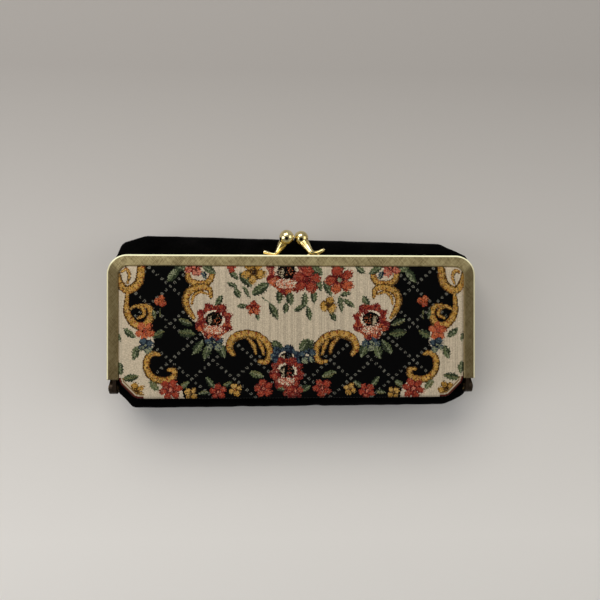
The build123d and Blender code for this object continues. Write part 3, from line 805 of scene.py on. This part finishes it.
def velvetBody():
    corners, radii = zip(*velvet["outline"])
    body = roundedLoop(corners, radii)
    neck = tub(place["mouth"] - 0.3, place["hingeY"] - 0.4, mouthTop, 8.4, 6.0, 4.7)
    n = velvet["points"]
    outer = resample(body, n, (0, -46.9))
    inner = resample(neck, n, (0, place["hingeY"] - 0.4))
    centre = np.array([0.0, (place["bodyLowY"] + place["bodyTopY"]) / 2])
    rng = np.random.default_rng(velvet["seed"])
    phase = rng.uniform(0, 2 * math.pi, 6)
    s = np.linspace(0, 2 * math.pi, n, endpoint=False)
    fold = sum(np.sin(s * k + p) for k, p in zip((23, 31, 41, 53, 67, 17), phase)) / 3
    points, faces = [], []
    for share, draw, z, pull in velvet["stations"]:
        ring = inner * (1 - share) + outer * share
        ring = centre + (ring - centre) * (1 - draw)
        away = ring - centre
        away /= np.maximum(np.hypot(*away.T), 1e-6)[:, None]
        ring = ring + away * (fold * velvet["gather"] * pull)[:, None]
        lift = fold * velvet["gather"] * 0.5 * pull - (0.3 if pull else 0.0)
        points += [(x, y, max(zz, 0.0)) for (x, y), zz in zip(ring, z + lift)]
    rings = len(velvet["stations"])
    for k in range(rings - 1):
        for i in range(n):
            j = (i + 1) % n
            faces.append((k * n + i, k * n + j, (k + 1) * n + j, (k + 1) * n + i))
    points.append((centre[0], centre[1], 0.0))
    last = (rings - 1) * n
    faces += [(last + i, last + (i + 1) % n, len(points) - 1) for i in range(n)]
    piece = meshPiece("velvetBody", points, faces, finishes["velvet"])
    outwards(piece)
    def held(p):
        # at the frame and where the body lies on the table
        return 1.0 if p.z > velvet["heldAbove"] or p.z < velvet["heldBelow"] else 0.0

    puffOut(piece, held, velvet["pressure"], velvet["frames"], velvet["most"])
    print("velvet body: rings", rings)
    return piece


# Clasp: tail, broad tapering stem and ball in one casting
clasp = {
    # along the tail and up the stem: x, y, lean, half width seen from the front, half depth
    "stem": [
        (8.2, 2.5, 0.45, 1.5, 1.6), (7.4, 3.8, 1.1, 1.75, 1.6), (6.5, 5.2, 1.8, 2.1, 1.7),
        (5.5, 6.6, 2.7, 2.4, 1.9), (4.6, 8.0, 3.6, 2.6, 2.3), (4.0, 8.9, 4.2, 2.2, 2.2),
    ],
    "curledTail": [
        (15.95, 3.0, 0.0, 0.35, 0.7), (15.6, 2.95, 0.0, 0.75, 1.1), (14.7, 2.55, 0.0, 1.0, 1.35),
        (13.4, 1.85, 0.0, 1.0, 1.4), (11.9, 1.25, 0.0, 1.0, 1.4), (10.3, 1.1, 0.0, 1.1, 1.5),
        (9.1, 1.5, 0.1, 1.35, 1.6),
    ],
    "flatTail": [
        (15.9, 2.0, 0.0, 1.0, 1.2), (15.7, 1.95, 0.0, 1.15, 1.4), (14.4, 1.6, 0.0, 1.1, 1.4),
        (12.8, 1.15, 0.0, 1.0, 1.4), (11.3, 0.85, 0.0, 0.85, 1.4), (10.0, 0.85, 0.0, 0.9, 1.5),
        (9.1, 1.3, 0.1, 1.2, 1.6),
    ],
    "ball": 3.8, "ballAt": (3.85, 9.4, 4.4), "around": 30, "ribs": 0.13, "shift": 0.4,
}


def claspPiece(name, side, tail):
    bm = bmesh.new()
    stations = np.array(clasp[tail] + clasp["stem"])
    fine = np.linspace(0, 1, 90)
    given = np.linspace(0, 1, len(stations))
    kernel = np.array([1, 3, 5, 3, 1]) / 13
    tracks = []
    for k in range(5):
        track = np.interp(fine, given, stations[:, k])
        for _ in range(5):
            track = np.concatenate([track[:2], np.convolve(track, kernel, "valid"), track[-2:]])
        tracks.append(track)
    line = np.stack(tracks[:3], 1)
    # fine ribs under the ball, as on a cast knuckle
    ribs = np.exp(-((fine - 0.78) / 0.09) ** 2) * np.sin(fine * 170) * clasp["ribs"]
    zMid = place["partZ"] + side * 2.4
    loops = []
    for i, (p, wide, deep) in enumerate(zip(line, tracks[3] + ribs, tracks[4] + ribs)):
        d = line[min(i + 1, len(line) - 1)] - line[max(i - 1, 0)]
        d /= np.linalg.norm(d)
        depth = np.array([0, 0, 1.0]) - d * d[2]
        depth /= np.linalg.norm(depth)
        across = np.cross(d, depth)
        ring = []
        for a in np.linspace(0, 2 * math.pi, clasp["around"], endpoint=False):
            q = p + across * math.cos(a) * wide + depth * math.sin(a) * deep
            x, y, z = side * q[0] + clasp["shift"], place["crownY"] + max(q[1], 0.02), zMid - side * q[2]
            ring.append(bm.verts.new((x * mm, y * mm, z * mm)))
        loops.append(ring)
    for a, b in zip(loops[:-1], loops[1:]):
        for i in range(len(a)):
            j = (i + 1) % len(a)
            bm.faces.new((a[i], a[j], b[j], b[i]))
    bm.faces.new(loops[0])
    bm.faces.new(loops[-1])
    made = bmesh.ops.create_uvsphere(bm, u_segments=48, v_segments=32, radius=clasp["ball"] * mm)
    bx, by, bz = clasp["ballAt"]
    at = (side * bx + clasp["shift"], place["crownY"] + by, zMid - side * bz)
    bmesh.ops.translate(bm, verts=made["verts"], vec=[c * mm for c in at])
    bmesh.ops.recalc_face_normals(bm, faces=bm.faces)
    mesh = bpy.data.meshes.new(name)
    bm.to_mesh(mesh)
    bm.free()
    mesh.shade_smooth()
    mesh.materials.append(finishes["polished"])
    piece = bpy.data.objects.new(name, mesh)
    scene.collection.objects.link(piece)
    print("clasp:", name)
    return piece


# Cloth that crosses the hinge
gusset = {
    "foot": 3.2, "footWidth": 1.6, "height": 44.0, "width": 13.0, "low": 25.1, "high": 26.95,
    "rows": 30, "folds": 12, "ripple": 0.12, "cloth": 0.25,
}


def sideGusset(name, side):
    # two layers folded inwards, widest at the top
    edge = place["mouth"] - 0.5
    points, faces = [], []
    across = 2 * gusset["folds"]
    for i in range(gusset["rows"] + 1):
        up = i / gusset["rows"]
        y = place["legY"] + gusset["foot"] + gusset["height"] * i / gusset["rows"]
        width = gusset["footWidth"] + (gusset["width"] - gusset["footWidth"]) * up ** 0.8
        for k in range(across + 1):
            u = k / across
            inward = 1 - abs(2 * u - 1)
            ripple = gusset["ripple"] * math.sin(i * 0.9 + k * 0.7)
            x = edge - width * inward
            share = u + 0.06 * math.sin(2 * math.pi * u)
            z = gusset["low"] + (gusset["high"] - gusset["low"]) * share + ripple * 0.4
            points.append((side * x, y, min(max(z, gusset["low"]), gusset["high"])))
    for i in range(gusset["rows"]):
        for k in range(across):
            a = i * (across + 1) + k
            faces.append((a, a + 1, a + across + 2, a + across + 1))
    piece = meshPiece(name, points, faces, finishes["lining"])
    thick = piece.modifiers.new("cloth", "SOLIDIFY")
    thick.thickness = gusset["cloth"] * mm
    thick.offset = 0
    return piece


strip = {"low": 20.9, "high": 27.0, "inset": 1.4, "puff": 0.88, "rows": 10, "cloth": 0.5}


def velvetStrip():
    # velvet between the panel's lower edge and the body, from hinge to hinge
    loop = resample(panelLoop, 520, (0, panelLoop[:, 1].max()))
    low = loop[loop[:, 1] < place["legY"] - 0.6]
    low = low[np.argsort(low[:, 0])]
    points, faces = [], []
    for k in range(strip["rows"] + 1):
        u = k / strip["rows"]
        inset = strip["inset"] - strip["puff"] * math.sin(math.pi * u)
        z = strip["low"] + (strip["high"] - strip["low"]) * u
        for x, y in low:
            away = np.array([x, (y - 8) * 3.2])
            away /= np.hypot(*away)
            points.append((x - away[0] * inset, y - away[1] * inset, z))
    n = len(low)
    for k in range(strip["rows"]):
        for i in range(n - 1):
            a = k * n + i
            faces.append((a, a + 1, a + n + 1, a + n))
    piece = meshPiece("velvetStrip", points, faces, finishes["velvet"])
    thick = piece.modifiers.new("cloth", "SOLIDIFY")
    thick.thickness = strip["cloth"] * mm
    thick.offset = 0
    return piece


# Hem stitches along the panel's lower edge, made by a node tree
hem = {"pitch": 1.5, "length": 1.0, "thick": 0.16, "z": 28.6, "seed": 11}


def hemStitches():
    loop = resample(panelLoop, 700, (0, panelLoop[:, 1].max()))
    low = loop[loop[:, 1] < place["legY"] - 1.2]
    low = low[np.argsort(low[:, 0])]
    curve = bpy.data.curves.new("hemLine", "CURVE")
    curve.dimensions = "3D"
    spline = curve.splines.new("POLY")
    spline.points.add(len(low) - 1)
    for point, (x, y) in zip(spline.points, low):
        point.co = (x * mm, (y - 0.22) * mm, hem["z"] * mm, 1)
    holder = bpy.data.objects.new("hemStitchPath", curve)
    scene.collection.objects.link(holder)
    tree = bpy.data.node_groups.new("hemStitchTree", "GeometryNodeTree")
    face = tree.interface
    face.new_socket("Geometry", in_out="INPUT", socket_type="NodeSocketGeometry")
    pitchSocket = face.new_socket("Pitch", in_out="INPUT", socket_type="NodeSocketFloat")
    lengthSocket = face.new_socket("Stitch length", in_out="INPUT", socket_type="NodeSocketFloat")
    thickSocket = face.new_socket("Thread", in_out="INPUT", socket_type="NodeSocketFloat")
    face.new_socket("Geometry", in_out="OUTPUT", socket_type="NodeSocketGeometry")
    start, end = tree.nodes.new("NodeGroupInput"), tree.nodes.new("NodeGroupOutput")
    spread = tree.nodes.new("GeometryNodeCurveToPoints")
    spread.mode = "LENGTH"
    body = tree.nodes.new("GeometryNodeMeshCylinder")
    body.inputs["Vertices"].default_value = 6
    scatter = tree.nodes.new("GeometryNodeInstanceOnPoints")
    lean = tree.nodes.new("FunctionNodeRandomValue")
    lean.data_type = "FLOAT_VECTOR"
    lean.inputs[0].default_value = (-0.15, 0.35, -0.15)
    lean.inputs[1].default_value = (0.15, 0.65, 0.15)
    lean.inputs["Seed"].default_value = hem["seed"]
    realise = tree.nodes.new("GeometryNodeRealizeInstances")
    coat = tree.nodes.new("GeometryNodeSetMaterial")
    coat.inputs["Material"].default_value = finishes["thread"]
    link = tree.links.new
    link(start.outputs[0], spread.inputs["Curve"])
    link(start.outputs[1], spread.inputs["Length"])
    link(start.outputs[2], body.inputs["Depth"])
    link(start.outputs[3], body.inputs["Radius"])
    link(spread.outputs["Points"], scatter.inputs["Points"])
    link(body.outputs["Mesh"], scatter.inputs["Instance"])
    link(lean.outputs[0], scatter.inputs["Rotation"])
    link(scatter.outputs[0], realise.inputs[0])
    link(realise.outputs[0], coat.inputs["Geometry"])
    link(coat.outputs[0], end.inputs[0])
    modifier = holder.modifiers.new("stitches", "NODES")
    modifier.node_group = tree
    modifier[pitchSocket.identifier] = hem["pitch"] * mm
    modifier[lengthSocket.identifier] = hem["length"] * mm
    modifier[thickSocket.identifier] = hem["thick"] * mm
    bpy.context.view_layer.update()
    graph = bpy.context.evaluated_depsgraph_get()
    mesh = bpy.data.meshes.new_from_object(holder.evaluated_get(graph))
    mesh.name = "hemStitches"
    holder.modifiers.remove(modifier)
    bpy.data.objects.remove(holder)
    piece = bpy.data.objects.new("hemStitches", mesh)
    scene.collection.objects.link(piece)
    mesh.materials.clear()
    mesh.materials.append(finishes["thread"])
    print("hem stitches: faces", len(mesh.polygons))
    return piece


# Make everything
finishes = {
    "brass": brushedBrass(), "polished": polishedBrass(), "hinge": darkAndShadedHinge(), "velvet": blackVelvet(),
    "lining": liningSatin(), "wadding": plainFibre("wadding", (214, 208, 196), (238, 234, 226), 500),
    "board": plainFibre("greyBoard", (120, 112, 98), (150, 142, 126), 350),
    "paper": plainFibre("twistedPaper", (166, 146, 112), (200, 182, 148), 1200),
    "thread": plainFibre("darkThread", (26, 22, 20), (58, 50, 44), 2500),
}

panel = tapestryPanel()
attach(panel, "front_half")
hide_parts("tapestry_cover")

stitchRow = hemStitches()
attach(stitchRow, "front_half")

body = velvetBody()
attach(body, "rear_half")
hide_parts("rear_velvet_cover", "rear_wadding")

frontClasp = claspPiece("frontClaspCast", 1, "curledTail")
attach(frontClasp, "front_half")
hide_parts("front_clasp")
rearClasp = claspPiece("rearClaspCast", -1, "flatTail")
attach(rearClasp, "rear_half")
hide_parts("rear_clasp")

for name, side, node in (("leftGussetCloth", -1, "left_gusset"), ("rightGussetCloth", 1, "right_gusset")):
    cloth = sideGusset(name, side)
    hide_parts(node)
    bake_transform(cloth)
stripCloth = velvetStrip()
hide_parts("bottom_gusset")
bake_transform(stripCloth)

nodeFinish = {
    "brass": ["front_frame", "rear_frame"], "hinge": ["left_hinge_rivet", "right_hinge_rivet"],
    "polished": ["front_clasp_pins", "rear_clasp_pins", "front_clasp", "rear_clasp"],
    "lining": ["rear_lining", "front_lining", "tapestry_cover", "left_gusset", "right_gusset"],
    "wadding": ["rear_wadding", "front_wadding"], "board": ["rear_board", "front_board"],
    "paper": ["rear_paper_cord", "front_paper_cord"], "velvet": ["rear_velvet_cover", "bottom_gusset"],
}
for finish, nodes in nodeFinish.items():
    for node in nodes:
        nodeMesh = frame["nodes"][node].data
        nodeMesh.materials.clear()
        nodeMesh.materials.append(finishes[finish])
print("finishes on nodes:", sum(len(nodes) for nodes in nodeFinish.values()))

# Floor, light and camera
# the floor is coloured darker towards the back, as painted shade where the studio light falls off
studio = {"near": (228, 225, 220), "far": (162, 158, 154), "air": 0.42, "gap": (0.0, -0.42, 0.907)}
floorMat, floorTree, floorShader = newMaterial("paleFloor", studio["near"], 0.9)
floorPlace = add(floorTree, "ShaderNodeTexCoord")
floorSplit = add(floorTree, "ShaderNodeSeparateXYZ")
floorTree.links.new(floorPlace.outputs["Object"], floorSplit.inputs[0])
depth = maths(floorTree, "ADD", maths(floorTree, "MULTIPLY", floorSplit.outputs["Y"], 3.2), 0.5)
floorFalloffShade = ramp(floorTree, depth, [(0.1, studio["near"]), (0.95, studio["far"])])
floorTree.links.new(floorFalloffShade, floorShader.inputs["Base Color"])
floorMesh = bpy.data.meshes.new("paleFloor")
floorCorners = [(-1.5, -1.5, -0.0004), (1.5, -1.5, -0.0004), (1.5, 1.5, -0.0004), (-1.5, 1.5, -0.0004)]
floorMesh.from_pydata(floorCorners, [], [(0, 1, 2, 3)])
floorMesh.materials.append(floorMat)
floor = bpy.data.objects.new("paleFloor", floorMesh)
scene.collection.objects.link(floor)

# pale walls all round and a darker gap straight overhead, where the camera stands
world = bpy.data.worlds.new("studioAir")
scene.world = world
world.use_nodes = True
air = world.node_tree.nodes["Background"]
airPlace = add(world.node_tree, "ShaderNodeTexCoord")
airGap = add(world.node_tree, "ShaderNodeVectorMath", operation="DOT_PRODUCT")
airGap.inputs[1].default_value = studio["gap"]
world.node_tree.links.new(airPlace.outputs["Generated"], airGap.inputs[0])
airStops = [(0.0, (232, 234, 236)), (0.84, (236, 238, 240)), (0.91, (60, 58, 56)), (1.0, (22, 21, 20))]
world.node_tree.links.new(ramp(world.node_tree, airGap.outputs["Value"], airStops), air.inputs["Color"])
air.inputs["Strength"].default_value = studio["air"]


def softLamp(name, where, aim, size, watts, tint):
    lamp = bpy.data.lights.new(name, "AREA")
    lamp.shape = "RECTANGLE"
    lamp.size, lamp.size_y = size
    lamp.energy = watts
    lamp.color = linear(tint)[:3]
    holder = bpy.data.objects.new(name, lamp)
    holder.location = where
    holder.rotation_euler = (Vector(aim) - Vector(where)).to_track_quat("-Z", "Y").to_euler()
    scene.collection.objects.link(holder)


softLamp("topSoftbox", (-0.25, 0.75, 0.75), (0, 0, 0.02), (0.9, 0.6), 8.0, (255, 250, 242))
softLamp("sideSoftbox", (-0.85, -0.1, 0.55), (0, 0, 0.02), (0.5, 0.7), 3.0, (250, 250, 255))
softLamp("fillSoftbox", (0.95, 0.1, 0.6), (0, 0, 0.02), (0.7, 0.7), 2.6, (255, 252, 248))

eye = {"x": 3.4, "y": 10.1, "distance": 303.6, "focal": 589.0, "yaw": -2.6, "roll": 0.03}
camera = bpy.data.cameras.new("studioCamera")
camera.sensor_width = 36.0
camera.lens = eye["focal"] / 600 * 36.0
camera.clip_start = 0.01
cameraHolder = bpy.data.objects.new("studioCamera", camera)
aim = Vector((eye["x"] * mm, eye["y"] * mm, place["faceZ"] * mm))
tilt = math.radians(eye["yaw"])
reach = eye["distance"] * mm
cameraHolder.location = aim + Vector((math.sin(tilt) * reach, 0, math.cos(tilt) * reach))
cameraHolder.rotation_euler = (0, tilt, math.radians(eye["roll"]))
scene.collection.objects.link(cameraHolder)
scene.camera = cameraHolder
scene.view_settings.view_transform = "Standard"
